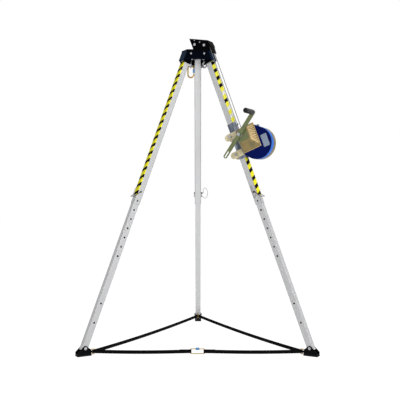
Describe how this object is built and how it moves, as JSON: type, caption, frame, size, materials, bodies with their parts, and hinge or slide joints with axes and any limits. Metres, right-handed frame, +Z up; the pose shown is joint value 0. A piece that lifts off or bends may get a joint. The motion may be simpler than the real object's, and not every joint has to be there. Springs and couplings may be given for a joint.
{
  "type": "rescue tripod",
  "caption": "Folding rescue tripod with telescopic legs pinned at steps, hinged feet tied by a base strap, a pulley head with eye bolts, and a geared hand winch on a leg.",
  "frame": {"origin": "on the ground under the middle of the object's box", "axes": "+Z up, -Y towards the front pair of feet, +X towards the leg with the winch"},
  "size_m": [1.6598, 1.4388, 2.2577],
  "materials": {
    "head_paint": "satin black",
    "skirt_paint": "satin navy black",
    "zinc_hardware": "zinc plated",
    "sheave_metal": "turned",
    "gold_steel": "yellow passivated",
    "blue_sleeve": "anodised blue",
    "leg_aluminium": "satin",
    "pin_bronze": "bronze passivated",
    "wire": "stranded",
    "shoe_paint": "matt black",
    "pad_rubber": "matt",
    "webbing": "woven",
    "winch_gold": "yellow passivated",
    "winch_blue": "gloss",
    "drum_metal": "cast",
    "grip_plastic": "moulded"
  },
  "bodies": {
    "head": {"hub": "head_paint", "skirt": "skirt_paint", "pulley_cheeks": "head_paint", "pulley_hood": "head_paint", "sheave_axles": "zinc_hardware", "head_bolts": "zinc_hardware", "pivot_bolts": "zinc_hardware", "eye_bolts": "zinc_hardware", "quick_link": "zinc_hardware"},
    "sheave_near": {"sheave_near": "sheave_metal"},
    "sheave_far": {"sheave_far": "sheave_metal"},
    "guide_roller": {"guide_roller": "sheave_metal"},
    "carabiner": {"carabiner_body": "gold_steel"},
    "gate": {"carabiner_gate": "zinc_hardware"},
    "sleeve": {"carabiner_sleeve": "blue_sleeve"},
    "upper_left": {"upper_tube_left": "leg_aluminium", "pin_lanyard_left": "wire", "base_strap_left": "webbing"},
    "lower_left": {"lower_tube_left": "leg_aluminium"},
    "pin_left": {"lock_pin_left": "pin_bronze"},
    "foot_left": {"foot_shoe_left": "shoe_paint", "foot_pad_left": "pad_rubber", "foot_bolt_left": "zinc_hardware", "strap_ring_left": "gold_steel"},
    "upper_right": {"upper_tube_right": "leg_aluminium", "pin_lanyard_right": "wire", "base_strap_right": "webbing", "leg_bracket": "zinc_hardware", "clamp_ears": "winch_gold", "winch_frame": "winch_gold", "gear_cover": "winch_blue", "brake_cover": "winch_gold", "drum_axle": "zinc_hardware", "wire_rope": "wire", "rope_eye": "wire"},
    "lower_right": {"lower_tube_right": "leg_aluminium"},
    "pin_right": {"lock_pin_right": "pin_bronze"},
    "foot_right": {"foot_shoe_right": "shoe_paint", "foot_pad_right": "pad_rubber", "foot_bolt_right": "zinc_hardware", "strap_ring_right": "gold_steel"},
    "upper_rear": {"upper_tube_rear": "leg_aluminium", "pin_lanyard_rear": "wire", "base_strap_rear": "webbing"},
    "lower_rear": {"lower_tube_rear": "leg_aluminium"},
    "pin_rear": {"lock_pin_rear": "pin_bronze"},
    "foot_rear": {"foot_shoe_rear": "shoe_paint", "foot_pad_rear": "pad_rubber", "foot_bolt_rear": "zinc_hardware", "strap_ring_rear": "gold_steel"},
    "link_nut": {"link_nut": "blue_sleeve"},
    "bracket_pin_upper": {"bracket_pin_upper": "zinc_hardware"},
    "bracket_pin_lower": {"bracket_pin_lower": "zinc_hardware"},
    "drum": {"drum": "drum_metal", "drum_gear": "zinc_hardware", "rope_winding": "wire"},
    "crank": {"crank_shaft": "zinc_hardware", "crank_arm": "winch_gold"},
    "grip": {"crank_grip": "grip_plastic"}
  },
  "joints": [
    {"name": "fold_left", "type": "hinge", "parent": "head", "child": "upper_left", "pos_m": [-0.07275, -0.26642, 2.12879], "axis": [0.5, -0.866, 0], "range_deg": [0, 19], "deforming": ["base_strap_left"]},
    {"name": "fold_right", "type": "hinge", "parent": "head", "child": "upper_right", "pos_m": [0.07275, -0.26642, 2.12879], "axis": [0.5, 0.866, 0], "range_deg": [0, 19], "deforming": ["base_strap_right", "wire_rope"]},
    {"name": "fold_rear", "type": "hinge", "parent": "head", "child": "upper_rear", "pos_m": [0, -0.14042, 2.12879], "axis": [-1, 0, 0], "range_deg": [0, 19], "deforming": ["base_strap_rear"]},
    {"name": "extend_left", "type": "slide", "parent": "upper_left", "child": "lower_left", "axis": [0.3137, 0.1811, 0.9321], "range_m": [0, 0.411]},
    {"name": "extend_right", "type": "slide", "parent": "upper_right", "child": "lower_right", "axis": [-0.3137, 0.1811, 0.9321], "range_m": [0, 0.411]},
    {"name": "extend_rear", "type": "slide", "parent": "upper_rear", "child": "lower_rear", "axis": [0, -0.3623, 0.9321], "range_m": [0, 0.411]},
    {"name": "pin_swing_left", "type": "hinge", "parent": "upper_left", "child": "pin_left", "pos_m": [-0.41409, -0.46349, 1.1147], "axis": [-0.5, 0.866, 0], "range_deg": [0, 70]},
    {"name": "pin_swing_right", "type": "hinge", "parent": "upper_right", "child": "pin_right", "pos_m": [0.41409, -0.46349, 1.1147], "axis": [-0.5, -0.866, 0], "range_deg": [0, 70]},
    {"name": "pin_swing_rear", "type": "hinge", "parent": "upper_rear", "child": "pin_rear", "pos_m": [0, 0.25374, 1.1147], "axis": [1, 0, 0], "range_deg": [0, 70]},
    {"name": "foot_tilt_left", "type": "hinge", "parent": "lower_left", "child": "foot_left", "pos_m": [-0.77113, -0.66963, 0.054], "axis": [0.5, -0.866, 0], "range_deg": [-20, 20]},
    {"name": "foot_tilt_right", "type": "hinge", "parent": "lower_right", "child": "foot_right", "pos_m": [0.77113, -0.66963, 0.054], "axis": [0.5, 0.866, 0], "range_deg": [-20, 20]},
    {"name": "foot_tilt_rear", "type": "hinge", "parent": "lower_rear", "child": "foot_rear", "pos_m": [0, 0.66601, 0.054], "axis": [-1, 0, 0], "range_deg": [-20, 20]},
    {"name": "sheave_near_spin", "type": "hinge", "parent": "head", "child": "sheave_near", "pos_m": [0.0558, -0.28377, 2.19479], "axis": [-0.5, -0.866, 0], "continuous": true},
    {"name": "sheave_far_spin", "type": "hinge", "parent": "head", "child": "sheave_far", "pos_m": [0.0793, -0.24306, 2.19479], "axis": [-0.5, -0.866, 0], "continuous": true},
    {"name": "guide_roller_spin", "type": "hinge", "parent": "head", "child": "guide_roller", "pos_m": [-0.00173, -0.22342, 2.20779], "axis": [-0.5, -0.866, 0], "continuous": true},
    {"name": "carabiner_swing", "type": "hinge", "parent": "head", "child": "carabiner", "pos_m": [-0.05196, -0.19442, 2.04979], "axis": [0, 1, 0], "range_deg": [-25, 25]},
    {"name": "gate_open", "type": "hinge", "parent": "carabiner", "child": "gate", "pos_m": [-0.03046, -0.19442, 1.99949], "axis": [0, -1, 0], "range_deg": [0, 25], "stiffness_Nm_per_rad": 0.05, "springref_deg": -17.19},
    {"name": "sleeve_turn", "type": "hinge", "parent": "gate", "child": "sleeve", "pos_m": [-0.03046, -0.19442, 2.02549], "axis": [0, 0, 1], "continuous": true},
    {"name": "link_nut_turn", "type": "hinge", "parent": "head", "child": "link_nut", "pos_m": [0, -0.63213, 0.038], "axis": [1, 0, 0], "continuous": true},
    {"name": "bracket_pin_upper_pull", "type": "slide", "parent": "upper_right", "child": "bracket_pin_upper", "axis": [-0.5, -0.866, 0], "range_m": [0, 0.085]},
    {"name": "bracket_pin_lower_pull", "type": "slide", "parent": "upper_right", "child": "bracket_pin_lower", "axis": [-0.5, -0.866, 0], "range_m": [0, 0.085]},
    {"name": "drum_spin", "type": "hinge", "parent": "upper_right", "child": "drum", "pos_m": [0.43374, -0.47484, 1.45933], "axis": [-0.5, -0.866, 0], "continuous": true},
    {"name": "crank_turn", "type": "hinge", "parent": "upper_right", "child": "crank", "pos_m": [0.34001, -0.42072, 1.51775], "axis": [-0.5, -0.866, 0], "continuous": true},
    {"name": "grip_spin", "type": "hinge", "parent": "crank", "child": "grip", "pos_m": [0.35764, -0.60641, 1.66788], "axis": [-0.5, -0.866, 0], "continuous": true}
  ],
  "couplings": [
    {"joint": "crank_turn", "follows": "drum_spin", "ratio": -4.8571}
  ]
}
